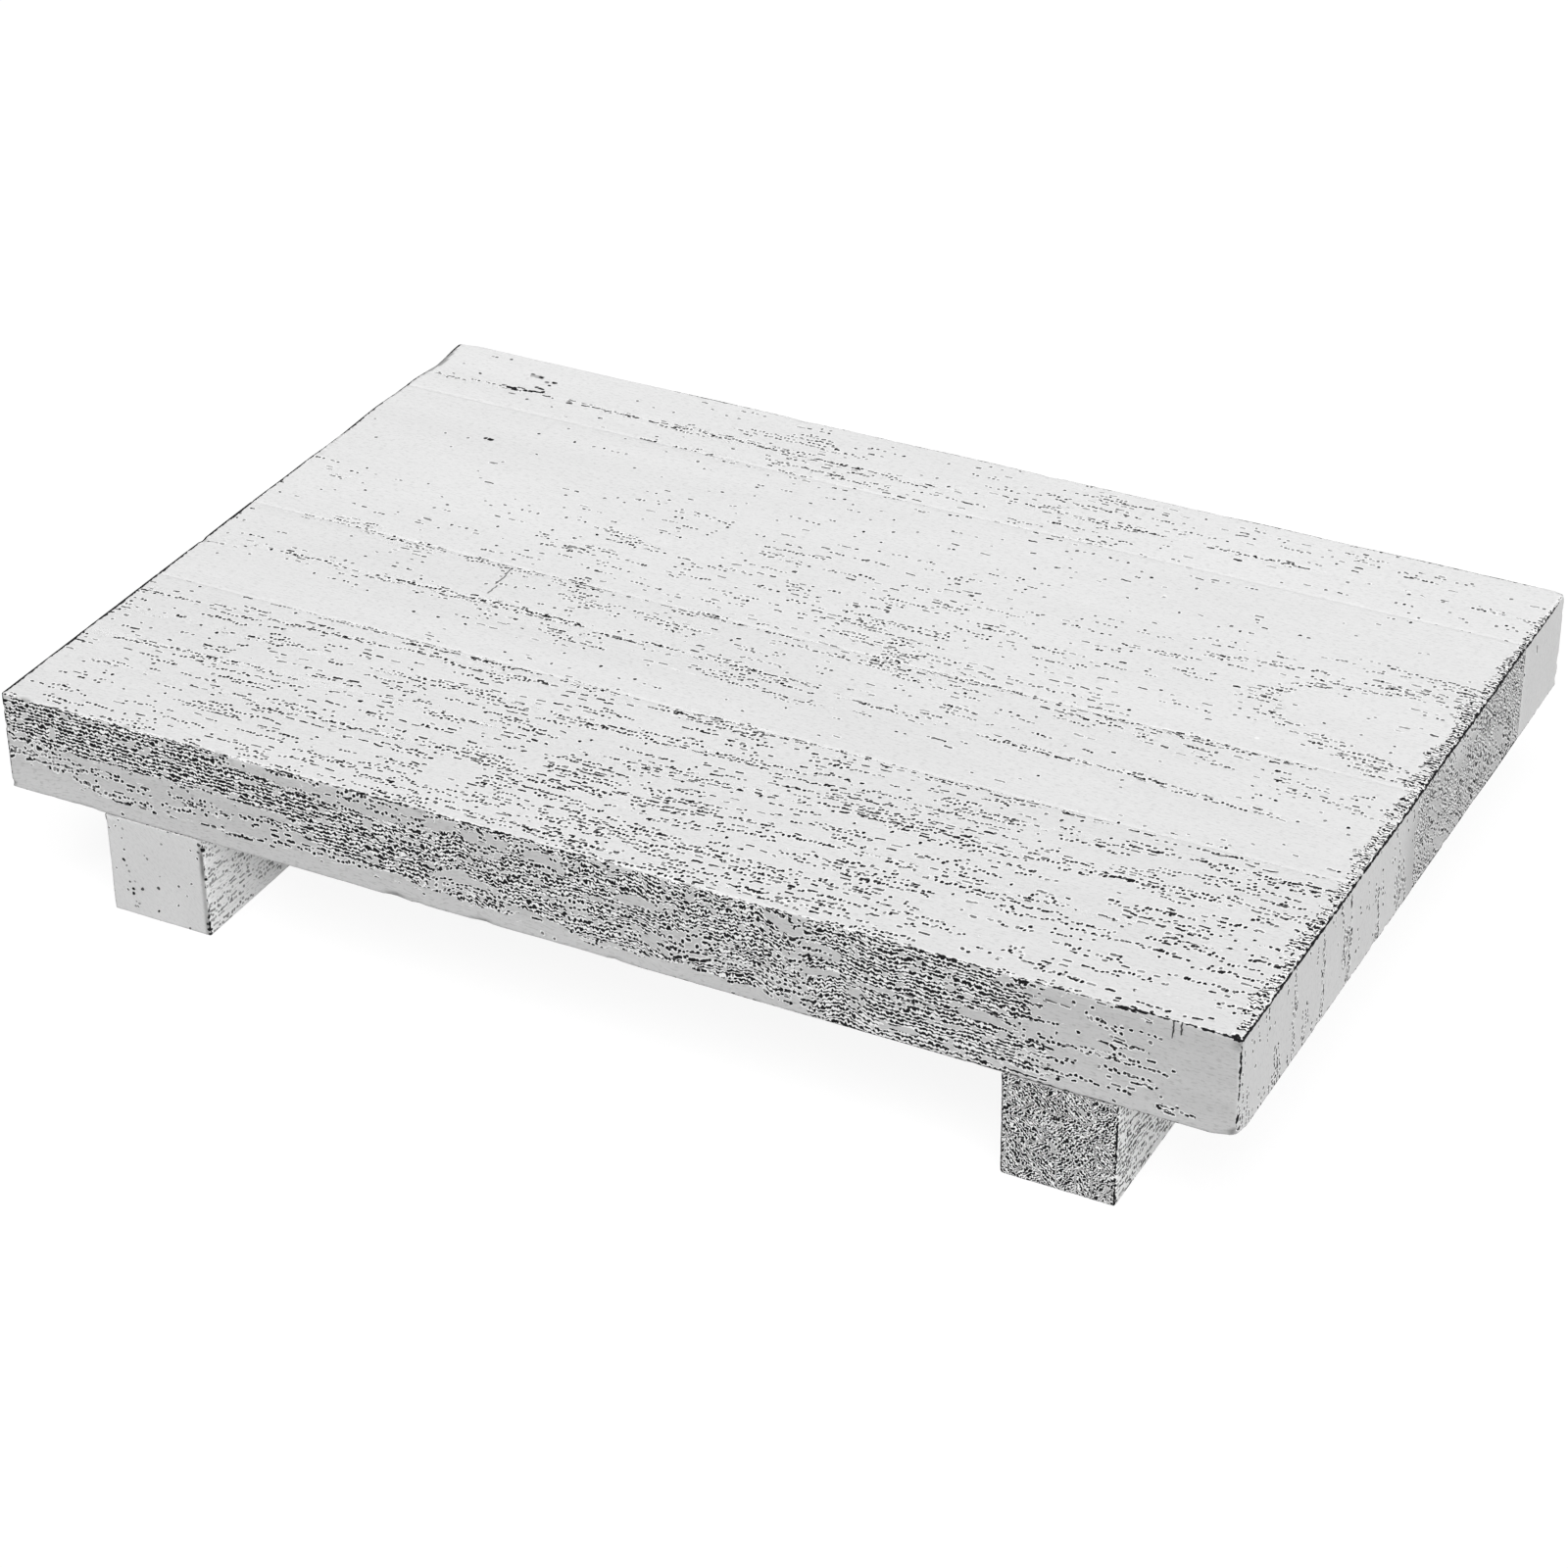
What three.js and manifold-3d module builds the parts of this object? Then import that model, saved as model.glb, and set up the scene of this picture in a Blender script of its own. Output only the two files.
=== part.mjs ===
// A low riser stand of whitewashed wood, for a soap bottle or a pump beside a basin. Its top is glued up
// from four staves, edge to edge. Two battens that run from front to back are its feet, and two
// countersunk screws hold each batten from below. Nothing on it moves.
//
// Sizes are in millimetres. The origin is on the surface that the stand rests on, under the middle of
// the top. X runs along the top's long side, Y to the back and Z up.

import * as THREE from 'three';
import { mergeVertices } from 'three/addons/utils/BufferGeometryUtils.js';
import Module from 'manifold-3d';

// The top, with its staves from front to back
const topLength = 240;
const topThickness = 20;
const frontStaveWidth = 49.5;
const frontMiddleStaveWidth = 32;
const backMiddleStaveWidth = 56.5;
const backStaveWidth = 22;
const topArrisRadius = 1;

// The foot battens, as deep as the top and flush with its front and back
const footWidth = 21;
const footHeight = 20.5;
const footInset = 20.5;
const footArrisRadius = 0.7;

// The screws. The inset is from a batten's end to the screw, and the sink from its underside to the head
const screwLength = 30;
const screwHeadDiameter = 8;
const screwHeadRim = 0.4;
const screwCoreDiameter = 2.6;
const screwThreadDiameter = 4;
const screwThreadLength = 20;
const screwThreadPitch = 2.25;
const screwTipLength = 4;
const screwInset = 30;
const screwSink = 1;

// The cross recess in a screw's head
const recessWidth = 4.4;
const recessDepth = 2;
const recessSlot = 0.9;

// Clearance round a screw and past its tip, and how far a cutting shape runs past the faces it cuts
const screwClearance = 0.3;
const tipClearance = 0.6;
const overrun = 1;

// Shares: a worn corner's radius over its arris radius, the width of a recess at its foot, the height of
// a drilled hole's point over its radius, and the half width of a thread's ridge over its pitch
const cornerRadiusShare = 1.6;
const recessFootShare = 0.4;
const drillPointShare = 0.6;
const ridgeHalfWidthShare = 0.2;

// Steps of the round forms
const cornerSteps = 3;
const arrisSteps = 3;
const holeSides = 20;
const headSides = 24;
const threadSides = 8;

// What follows from these sizes
const topDepth = frontStaveWidth + frontMiddleStaveWidth + backMiddleStaveWidth + backStaveWidth;
const footX = topLength / 2 - footInset - footWidth / 2;
const screwY = topDepth / 2 - screwInset;
const headRadius = screwHeadDiameter / 2;
const coreRadius = screwCoreDiameter / 2;
const threadRadius = screwThreadDiameter / 2;
const holeRadius = threadRadius + screwClearance;
const screwTipZ = screwSink + screwLength;

const staves = [
  { name: 'top_stave_front', width: frontStaveWidth },
  { name: 'top_stave_front_middle', width: frontMiddleStaveWidth },
  { name: 'top_stave_back_middle', width: backMiddleStaveWidth },
  { name: 'top_stave_back', width: backStaveWidth },
];

const feet = [
  { side: 'left', x: -footX },
  { side: 'right', x: footX },
];

const screwPlaces = [
  { end: 'front', y: -screwY },
  { end: 'back', y: screwY },
];

// Materials
const paintedWood = { color: 0xe2e2e0, roughness: 0.78, metalness: 0, flatShading: true };
const greyerWood = { color: 0xd3d3d1, roughness: 0.82, metalness: 0, flatShading: true };
const zincSteel = { color: 0xb4b7ba, roughness: 0.38, metalness: 1, flatShading: true };

const wasm = await Module();
wasm.setup();

// A closed geometry as a solid. Triangles that a lathe folds flat on its axis are left out.
function toSolid(geometry) {
  geometry.deleteAttribute('normal');
  geometry.deleteAttribute('uv');
  const merged = mergeVertices(geometry);
  const corners = merged.index.array;
  const triangles = [];
  for (let i = 0; i < corners.length; i += 3) {
    const [a, b, c] = corners.slice(i, i + 3);
    if (a !== b && b !== c && c !== a) {
      triangles.push(a, b, c);
    }
  }
  return new wasm.Manifold(new wasm.Mesh({
    numProp: 3,
    vertProperties: new Float32Array(merged.attributes.position.array),
    triVerts: new Uint32Array(triangles),
  }));
}

function toGeometry(solid) {
  const mesh = solid.getMesh();
  const geometry = new THREE.BufferGeometry();
  geometry.setAttribute('position', new THREE.BufferAttribute(mesh.vertProperties, 3));
  geometry.setIndex(new THREE.BufferAttribute(mesh.triVerts, 1));
  geometry.computeVertexNormals();
  return geometry;
}

function namedMesh(name, solid, look) {
  const mesh = new THREE.Mesh(toGeometry(solid), new THREE.MeshStandardMaterial(look));
  mesh.name = name;
  return mesh;
}

// A solid turned about Z from a profile of [radius, height] points that starts and ends on the axis
function turned(profile, sides) {
  const points = profile.map(([radius, height]) => new THREE.Vector2(radius, height));
  const geometry = new THREE.LatheGeometry(points, sides);
  geometry.rotateX(Math.PI / 2);
  return toSolid(geometry);
}

function roundedRectangle(length, depth, radius) {
  const x = length / 2 - radius;
  const y = depth / 2 - radius;
  const shape = new THREE.Shape();
  shape.absarc(x, -y, radius, -Math.PI / 2, 0);
  shape.absarc(x, y, radius, 0, Math.PI / 2);
  shape.absarc(-x, y, radius, Math.PI / 2, Math.PI);
  shape.absarc(-x, -y, radius, Math.PI, 1.5 * Math.PI);
  return shape;
}

// A block that stands on Z = 0, centred on the Z axis, with every arris eased
function easedBlock(length, depth, height, arrisRadius) {
  const outline = roundedRectangle(length, depth, arrisRadius * cornerRadiusShare);
  const geometry = new THREE.ExtrudeGeometry(outline, {
    depth: height - 2 * arrisRadius,
    curveSegments: cornerSteps,
    bevelSegments: arrisSteps,
    bevelThickness: arrisRadius,
    bevelSize: arrisRadius,
    bevelOffset: -arrisRadius,
  });
  geometry.translate(0, 0, arrisRadius);
  return toSolid(geometry);
}

// The whole length and height of the top between two places along Y
function staveSpace(lowY, highY) {
  const geometry = new THREE.BoxGeometry(
    topLength + 2 * overrun,
    highY - lowY,
    topThickness + 2 * overrun,
  );
  geometry.translate(0, (lowY + highY) / 2, topThickness / 2);
  return toSolid(geometry);
}

// The hole for a screw in the top, drilled up from its underside at Z = 0
function pilotHole() {
  const end = screwTipZ - footHeight + tipClearance;
  return turned([
    [0, -overrun],
    [holeRadius, -overrun],
    [holeRadius, end],
    [0, end + holeRadius * drillPointShare],
  ], holeSides);
}

// The hole for a screw through a batten, with the seat for its 90 degree head
function countersunkHole() {
  const mouthRadius = headRadius + screwClearance;
  const seat = screwSink + screwHeadRim + screwClearance * (Math.SQRT2 - 1);
  return turned([
    [0, -overrun],
    [mouthRadius, -overrun],
    [mouthRadius, seat],
    [holeRadius, seat + mouthRadius - holeRadius],
    [holeRadius, footHeight + overrun],
    [0, footHeight + overrun],
  ], holeSides);
}

// The four staves, cut from one eased board. An outer stave's space runs past the board's edge.
function makeTop() {
  const top = new THREE.Group();
  const board = easedBlock(topLength, topDepth, topThickness, topArrisRadius);
  const hole = pilotHole();
  let drilled = board;
  for (const foot of feet) {
    for (const place of screwPlaces) {
      drilled = drilled.subtract(hole.translate(foot.x, place.y, 0));
    }
  }
  let lowY = -topDepth / 2;
  staves.forEach((stave, i) => {
    const highY = lowY + stave.width;
    const before = i === 0 ? overrun : 0;
    const after = i === staves.length - 1 ? overrun : 0;
    const piece = drilled.intersect(staveSpace(lowY - before, highY + after));
    top.add(namedMesh(stave.name, piece, i === 0 ? greyerWood : paintedWood));
    lowY = highY;
  });
  top.position.z = footHeight;
  return top;
}

function makeBatten(side) {
  const hole = countersunkHole();
  let batten = easedBlock(footWidth, topDepth, footHeight, footArrisRadius);
  for (const place of screwPlaces) {
    batten = batten.subtract(hole.translate(0, place.y, 0));
  }
  return namedMesh(`foot_batten_${side}`, batten, side === 'right' ? greyerWood : paintedWood);
}

// How far a right-hand thread's ridge stands out at a height and an angle, from 0 to 1
function ridge(height, angle) {
  const phase = height / screwThreadPitch - angle / (2 * Math.PI);
  const off = Math.abs(phase - Math.round(phase));
  return Math.max(0, 1 - off / ridgeHalfWidthShare);
}

// The threaded length of a screw, from the place where its thread starts up to its tip. A ridge moves up
// one ring for each side it passes, so that it follows the diagonals of the skin.
function threadedShank() {
  const start = screwLength - screwThreadLength;
  const taperStart = screwLength - screwTipLength;
  const ringStep = screwThreadPitch / threadSides;
  const ringCount = Math.floor(screwThreadLength / ringStep);
  const positions = [0, 0, start];
  for (let k = 0; k < ringCount; k += 1) {
    const height = start + k * ringStep;
    const fade = Math.min(1, k / threadSides);
    const taper = Math.min(1, (screwLength - height) / (screwLength - taperStart));
    for (let m = 0; m < threadSides; m += 1) {
      const angle = (2 * Math.PI * m) / threadSides;
      const rise = (threadRadius - coreRadius) * ridge(height - start, angle) * fade;
      const radius = (coreRadius + rise) * taper;
      positions.push(radius * Math.cos(angle), radius * Math.sin(angle), height);
    }
  }
  positions.push(0, 0, screwLength);

  const corner = (k, m) => 1 + k * threadSides + (m % threadSides);
  const tip = positions.length / 3 - 1;
  const triangles = [];
  for (let m = 0; m < threadSides; m += 1) {
    triangles.push(0, corner(0, m + 1), corner(0, m));
    triangles.push(tip, corner(ringCount - 1, m), corner(ringCount - 1, m + 1));
    for (let k = 0; k < ringCount - 1; k += 1) {
      triangles.push(corner(k, m), corner(k, m + 1), corner(k + 1, m + 1));
      triangles.push(corner(k, m), corner(k + 1, m + 1), corner(k + 1, m));
    }
  }
  const geometry = new THREE.BufferGeometry();
  geometry.setAttribute('position', new THREE.Float32BufferAttribute(positions, 3));
  geometry.setIndex(triangles);
  return toSolid(geometry);
}

// One wing of the cross recess, sunk from the head's face at Z = 0
function recessWing() {
  const half = recessWidth / 2;
  const shape = new THREE.Shape();
  shape.moveTo(-half, -overrun);
  shape.lineTo(half, -overrun);
  shape.lineTo(half, 0);
  shape.lineTo(half * recessFootShare, recessDepth);
  shape.lineTo(-half * recessFootShare, recessDepth);
  shape.lineTo(-half, 0);
  const geometry = new THREE.ExtrudeGeometry(shape, { depth: recessSlot, bevelEnabled: false });
  geometry.translate(0, 0, -recessSlot / 2);
  geometry.rotateX(Math.PI / 2);
  return toSolid(geometry);
}

// A countersunk screw with its head's face at Z = 0 and its tip up. Its plain shank, as thick as the
// core, runs on past the start of the threaded length by one pitch.
function makeScrewSolid() {
  const neck = screwHeadRim + headRadius - coreRadius;
  const shankEnd = screwLength - screwThreadLength + screwThreadPitch;
  const head = turned([
    [0, 0],
    [headRadius, 0],
    [headRadius, screwHeadRim],
    [coreRadius, neck],
    [coreRadius, shankEnd],
    [0, shankEnd],
  ], headSides);
  const wing = recessWing();
  return head
    .add(threadedShank())
    .subtract(wing)
    .subtract(wing.rotate(0, 0, 90));
}

function makeFoot(side, x) {
  const foot = new THREE.Group();
  foot.add(makeBatten(side));
  const screw = makeScrewSolid();
  for (const place of screwPlaces) {
    const mesh = namedMesh(`foot_screw_${side}_${place.end}`, screw, zincSteel);
    mesh.position.set(0, place.y, screwSink);
    foot.add(mesh);
  }
  foot.position.x = x;
  return foot;
}

const riserStand = new THREE.Group();
riserStand.add(makeTop());
for (const { side, x } of feet) {
  riserStand.add(makeFoot(side, x));
}

export default riserStand;
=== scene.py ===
import math

import bpy
import numpy as np
from mathutils import Matrix, Vector


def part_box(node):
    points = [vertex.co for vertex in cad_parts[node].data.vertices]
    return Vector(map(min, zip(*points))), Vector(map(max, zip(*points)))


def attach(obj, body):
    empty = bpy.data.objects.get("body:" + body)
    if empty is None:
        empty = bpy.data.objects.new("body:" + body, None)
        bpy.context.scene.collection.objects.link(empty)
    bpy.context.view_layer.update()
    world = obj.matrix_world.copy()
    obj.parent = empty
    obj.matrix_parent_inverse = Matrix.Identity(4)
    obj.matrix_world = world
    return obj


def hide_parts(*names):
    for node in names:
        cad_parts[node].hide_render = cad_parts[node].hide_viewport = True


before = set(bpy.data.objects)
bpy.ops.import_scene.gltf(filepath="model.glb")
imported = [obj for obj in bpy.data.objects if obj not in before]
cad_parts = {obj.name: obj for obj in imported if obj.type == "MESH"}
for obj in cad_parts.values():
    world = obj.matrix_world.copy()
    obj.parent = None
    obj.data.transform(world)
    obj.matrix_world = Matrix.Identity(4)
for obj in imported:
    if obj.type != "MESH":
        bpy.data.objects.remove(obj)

# The looks of a low riser stand of whitewashed wood. Lengths are in millimetres in the code that
# shapes the wood, and MM turns them into Blender's metres. X runs along the grain of the top, and Y
# to the back.
MM = 0.001
X, Y, Z = 0, 1, 2
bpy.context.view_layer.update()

STAVES = ["top_stave_front", "top_stave_front_middle", "top_stave_back_middle", "top_stave_back"]
FEET = ["foot_batten_left", "foot_batten_right"]
SCREWS = [
    "foot_screw_left_front", "foot_screw_left_back",
    "foot_screw_right_front", "foot_screw_right_back",
]


def box_mm(node):
    low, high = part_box(node)
    return np.array(low) / MM, np.array(high) / MM


stave_boxes = [box_mm(node) for node in STAVES]
foot_boxes = [box_mm(node) for node in FEET]
screw_boxes = [box_mm(node) for node in SCREWS]
BOARD_LOW = np.min([low for low, high in stave_boxes], axis=0)
BOARD_HIGH = np.max([high for low, high in stave_boxes], axis=0)
BOARD_SIZE = BOARD_HIGH - BOARD_LOW
JOINTS = [high[Y] for low, high in stave_boxes[:-1]]

# The growth rings of the top, as rows of open pores: points of (x, y, strength) along each
BACK_RING = [
    (-120, 65.5, 0.2), (-106, 65.9, 0.5), (-69, 65.9, 0.6), (-61, 65.9, 1), (-3, 66, 0.9),
    (3, 66.5, 0.4), (14, 66.9, 0.6), (28, 67.1, 0.9), (72, 67.2, 0.9), (108, 66.9, 0.7),
    (120, 66.6, 0.4),
]
MIDDLE_RING = [
    (-120, -13.6, 0.3), (-112, -13.4, 0.5), (-82, -12.9, 0.7), (-58, -12.1, 0.9), (-12, -12.6, 0.9),
    (11, -13.1, 0.6), (34, -13.8, 0.9), (49, -14.4, 0.9), (80, -15.6, 0.7), (120, -16.7, 0.5),
]
FRONT_RING_A = [
    (-120, -36.6, 0.6), (-97, -36.1, 0.7), (-74, -34.9, 0.7), (-58, -33.9, 0.8), (-28, -33.1, 0.8),
    (3, -32.3, 0.8), (26, -31.8, 0.6), (65, -31.5, 0.1), (120, -31.5, 0),
]
FRONT_RING_B = [
    (-120, -44, 0.4), (-82, -42.7, 0.7), (-51, -41.7, 0.8), (-28, -41.1, 0.8), (-5, -41.4, 0.7),
    (26, -39.9, 1), (41, -39.2, 1), (65, -37.6, 0.9), (80, -36.1, 0.8), (120, -33.9, 0.9),
]
FRONT_RING_C = [
    (-120, -53.6, 0.5), (-89, -52.4, 0.6), (-58, -50.9, 0.6), (-35, -50.2, 0.8), (-12, -50.9, 0.5),
    (3, -50.2, 0.9), (18, -48.7, 0.8), (49, -46.3, 1), (72, -45.7, 0.9), (95, -44.8, 0.6),
    (120, -43.7, 0.6),
]
FRONT_RING_D = [
    (-120, -62.7, 0.1), (-97, -62.4, 0.6), (-43, -61.2, 0.9), (-20, -60.9, 1), (0, -60.9, 0.8),
    (18, -58.9, 0.9), (65, -58.4, 0.9), (88, -57.4, 0.5), (105, -57, 0.8), (120, -56.6, 0.9),
]
FRONT_JOINT_ROW = [
    (-120, -31.1, 0), (-86, -31.1, 0.3), (-60, -31.1, 1.1), (64, -31.1, 1.1), (90, -31.1, 0.2),
    (120, -31.1, 0),
]
MIDDLE_JOINT_ROW = [
    (-120, 1.1, 0.2), (-105, 1.1, 0.6), (-60, 1.1, 0.6), (0, 1.1, 0.5), (60, 1.1, 0.5),
    (120, 1.1, 0.2),
]
RINGS = [BACK_RING, MIDDLE_RING, FRONT_RING_A, FRONT_RING_B, FRONT_RING_C, FRONT_RING_D]
ROWS = RINGS + [FRONT_JOINT_ROW, MIDDLE_JOINT_ROW]

# Clusters of pores on the top: (x, y, half length, half width, strength)
CLUSTERS = [
    (-44, 20.2, 8, 1.6, 0.8), (-54, 13.2, 6, 2.6, 0.6), (-20, 26.9, 7, 1.2, 0.9),
    (-42, -4.2, 5, 2.4, 0.5), (-20, -5.4, 5, 2.6, 0.9), (38, -8, 5, 1.5, 0.5),
    (74, -2.7, 9, 1.6, 0.6), (-43, -17.5, 9, 2.6, 0.6), (2, -17, 26, 2, 0.35),
    (12, 6.5, 5, 1.4, 0.8), (20, 5, 3, 3, 0.6), (45, 7, 2, 5, 0.6), (8, 12, 10, 2, 0.5),
    (-110, 18.5, 4, 1, 0.5), (-98, 3.2, 6, 0.8, 0.9), (-82, 0.2, 6, 1.2, 0.9),
    (24, -1, 14, 1.2, 0.6), (58, -1, 10, 1.5, 0.6), (90, 1, 12, 1, 0.5), (22, 19, 46, 12, 0.12),
    (-30, 72, 12, 3, 0.35), (30, 73.5, 6, 4, 0.5), (70, 74, 30, 3, 0.4), (-25, 61, 22, 3, 0.4),
    (32, 60, 14, 1.6, 0.3), (14, -72.5, 50, 4.5, 0.55), (10, -77.2, 44, 0.8, 0.7),
    (45, -45, 34, 5, 0.3), (30, -61, 46, 3.5, 0.35), (-20, -57.5, 30, 3, 0.25),
    (108, -55, 12, 3.5, 0.5),
]

# Cathedral arches, open to the right: (apex x, apex y, spread, half width, strength)
ARCHES = [(84, 20.6, 2.78, 2, 0.75), (43, 15, 2.5, 1.6, 0.25), (6, 16, 2.3, 1.6, 0.2)]

# Small dark flaws of each stave: (x, y, half length along x and along y, radius, darkness).
# The back stave has a bark pocket, its neighbour two pin holes, and the front middle one a crack.
FLAWS = [
    [],
    [
        (-60.8, -0.2, 0, 1.4, 0.13, 0.7), (-60.4, -3.9, 0, 1.7, 0.13, 0.75),
        (-59.9, -7.8, 0, 1.6, 0.13, 0.7),
    ],
    [
        (-92.6, 44.6, 0, 0, 0.34, 1), (-91.4, 44.5, 0.25, 0.1, 0.34, 1),
    ],
    [
        (-101.1, 66.6, 0.3, 0, 0.2, 0.8), (-99.8, 66.2, 0.4, 0, 0.32, 1),
        (-98.6, 66.1, 0.1, 0.2, 0.42, 1), (-97.9, 65.8, 0, 0, 0.36, 1),
        (-97.4, 67, 0.7, 0, 0.22, 0.9), (-96.1, 66.4, 0.1, 0, 0.36, 1),
        (-94.9, 66.6, 0.3, 0, 0.34, 1), (-93.8, 66.8, 1, 0, 0.2, 1), (-92.6, 67.3, 0, 0.1, 0.38, 1),
        (-94.8, 68.6, 0, 0, 0.3, 1), (-93.6, 68.4, 0.5, 0, 0.26, 1), (-92.8, 70.5, 0, 0, 0.34, 1),
        (-92.5, 71.9, 0.2, 0, 0.36, 1), (-97.1, 72.9, 1.1, 0.1, 0.45, 0.45),
        (-98.4, 73.5, 0, 0, 0.28, 0.9), (-96.2, 72.9, 0.2, 0, 0.34, 1),
        (-94.1, 71.5, 0.2, 0, 0.24, 0.7), (-97.9, 64, 0.7, 0, 0.18, 0.8),
        (-93.9, 63.2, 0, 0, 0.26, 0.9), (-85.3, 65.4, 0.4, 0, 0.26, 1),
        (-105.8, 77.4, 0, 0, 0.28, 1),
    ],
]
# White specks of filler on each stave: (x, y)
SPECKS = [[(101, -69.5)], [(-84, -2.7)], [(88, 6)], []]
# Runs of dark paint down the front face, near its right end: (x, middle height, half length)
DRIPS = [(108.2, 38.6, 1.6), (109.6, 39.2, 1)]

# The front edge, with t from 0 at its top to 1 at its foot. Smooth lenses and tufts of pores:
# (x, t, half length, half height in t, strength)
LENSES = [
    (-68.5, 0.07, 7, 0.06, 0.9), (-59.2, 0.1, 3.2, 0.05, 0.9), (-74.7, 0.5, 15, 0.05, 1),
    (-62, 0.5, 8, 0.04, 0.8), (-24.5, 0.58, 2.4, 0.08, 1), (-18.7, 0.14, 4.6, 0.1, 0.8),
    (-7, 0.18, 4.2, 0.11, 0.9), (11.2, 0.33, 4.8, 0.06, 1), (13.9, 0.67, 3.4, 0.07, 0.9),
    (-1.6, 0.54, 2.3, 0.08, 0.9), (46.4, 0.3, 3.2, 0.07, 1), (74.1, 0.49, 4.2, 0.06, 0.9),
    (51.7, 0.61, 2.6, 0.06, 0.8), (69, 0.21, 1.5, 0.11, 0.8), (61, 0.85, 3.4, 0.03, 0.9),
]
TUFTS = [
    (99.2, 0.38, 4.4, 0.03, 1), (97, 0.52, 5, 0.03, 1), (103.7, 0.7, 3.2, 0.045, 0.9),
    (107.7, 0.88, 3.2, 0.08, 0.9), (103.5, 0.07, 2.9, 0.03, 0.8), (95.5, 0.2, 1.8, 0.06, 0.8),
    (-110, 0.74, 8, 0.03, 0.6), (-79, 0.62, 7, 0.1, 0.7), (-73, 0.66, 4, 0.08, 0.8),
]

# Open pores in the end of the left foot: (share of the width from the left, t, radius, darkness)
FOOT_DOTS = [
    (0.146, 0.44, 0.36, 1), (0.175, 0.49, 0.24, 0.7), (0.195, 0.55, 0.28, 0.6),
    (0.19, 0.66, 0.3, 0.9), (0.22, 0.73, 0.42, 1), (0.216, 0.78, 0.36, 1), (0.24, 0.85, 0.26, 0.6),
    (0.27, 0.87, 0.24, 0.6), (0.225, 0.91, 0.3, 0.6), (0.245, 0.64, 0.22, 0.5),
    (0.315, 0.7, 0.34, 0.9), (0.49, 0.64, 0.36, 0.9), (0.47, 0.89, 0.34, 1),
    (0.515, 0.51, 0.2, 0.5), (0.375, 0.33, 0.22, 0.6), (0.4, 0.36, 0.26, 0.7),
    (0.56, 0.15, 0.24, 0.6), (0.785, 0.98, 0.28, 0.8), (0.17, 0.11, 0.24, 0.5),
    (0.96, 0.05, 0.5, 0.9), (0.99, 0.1, 0.5, 1), (0.95, 0.13, 0.34, 0.8), (1, 0.41, 0.42, 1),
    (0.98, 0.87, 0.34, 0.9), (0.985, 0.93, 0.42, 1), (0.99, 0.98, 0.4, 0.9),
]


# Numbers from seeded tables, so that each run gives the same wood
TABLE = 64
tables = np.random.default_rng(20261128).random((16, TABLE, TABLE))


def noise(u, v, cell_u, cell_v, seed):
    """Smooth noise from 0 to 1, with a cell of the given size."""
    table = tables[seed % len(tables)]
    a = np.asarray(u) / cell_u + seed * 7.31
    b = np.asarray(v) / cell_v + seed * 3.17
    i = np.floor(a).astype(int)
    j = np.floor(b).astype(int)
    s = a - i
    t = b - j
    s = s * s * (3 - 2 * s)
    t = t * t * (3 - 2 * t)

    def at(di, dj):
        return table[(i + di) % TABLE, (j + dj) % TABLE]

    low = at(0, 0) * (1 - s) + at(1, 0) * s
    high = at(0, 1) * (1 - s) + at(1, 1) * s
    return low * (1 - t) + high * t


def sway(u, v, cell_u, cell_v, seed):
    return noise(u, v, cell_u, cell_v, seed) - 0.5


def ramp(value, start, end):
    """0 at start, 1 at end, smooth between."""
    t = np.clip((value - start) / (end - start), 0, 1)
    return t * t * (3 - 2 * t)


def fall(value, start, end):
    """1 at start, 0 at end, smooth between."""
    return 1 - ramp(value, start, end)


def window(value, low, high, soft):
    """1 between low and high, 0 outside, with soft sides."""
    return ramp(value, low - soft, low + soft) * fall(value, high - soft, high + soft)


def patch(u, v, cu, cv, half_u, half_v):
    return np.exp(-((u - cu) / half_u) ** 2 - ((v - cv) / half_v) ** 2)


def bell(off, half):
    return np.exp(-((off / half) ** 2))


def along(points, x, column):
    table = np.array(points)
    return np.interp(x, table[:, 0], table[:, column])


def stave_of(y):
    """Which stave the points are on: 0 is the front one."""
    return int(np.searchsorted(JOINTS, y.mean()))


# What each face shows, at points in millimetres:
# tone is the paint's reflectance with painted shade and painted light on some faces, and streak how
# much it varies along the grain
# pores is the share of the surface with open pores, and ink how dark they are
# cut is how deep a point lies, and run and lane are the places along and across the grain
# dash is the share of pores cut lengthwise, which show as strokes and not as dots
SHARED = ("tone", "streak", "pores", "ink")
GRAIN = ("run", "lane", "dash")
PORE_DEPTH = 0.06


def new_look(run, lane, pores, tone, streak, ink=0.9, dash=1.0, depth=PORE_DEPTH, groove=0.0):
    """One face's looks. Full pores lie depth below the surface, and groove lowers all of it."""
    pores = np.clip(pores, 0, 1)
    look = {
        "tone": tone, "streak": streak, "pores": pores, "ink": ink,
        "run": run, "lane": lane, "dash": dash, "cut": depth * pores + groove,
    }
    return {name: np.full(len(run), value, float) for name, value in look.items()}


def ring_pores(x, y):
    """Pores of the growth rings: dense on a ring's line, and thinning out towards the front."""
    total = np.zeros(np.shape(x))
    for ring in ROWS:
        off = y - along(ring, x, 1) + 0.5 * sway(x, y, 9, 50, 3)
        strength = along(ring, x, 2) * (0.62 + 0.70 * noise(x, y, 11, 30, 5))
        line = bell(off, 0.75)
        tail = np.where(off < 0, np.exp(np.minimum(off, 0) / 2.6), 0)
        total = np.maximum(total, strength * (line + 0.30 * tail))
    return total


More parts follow.
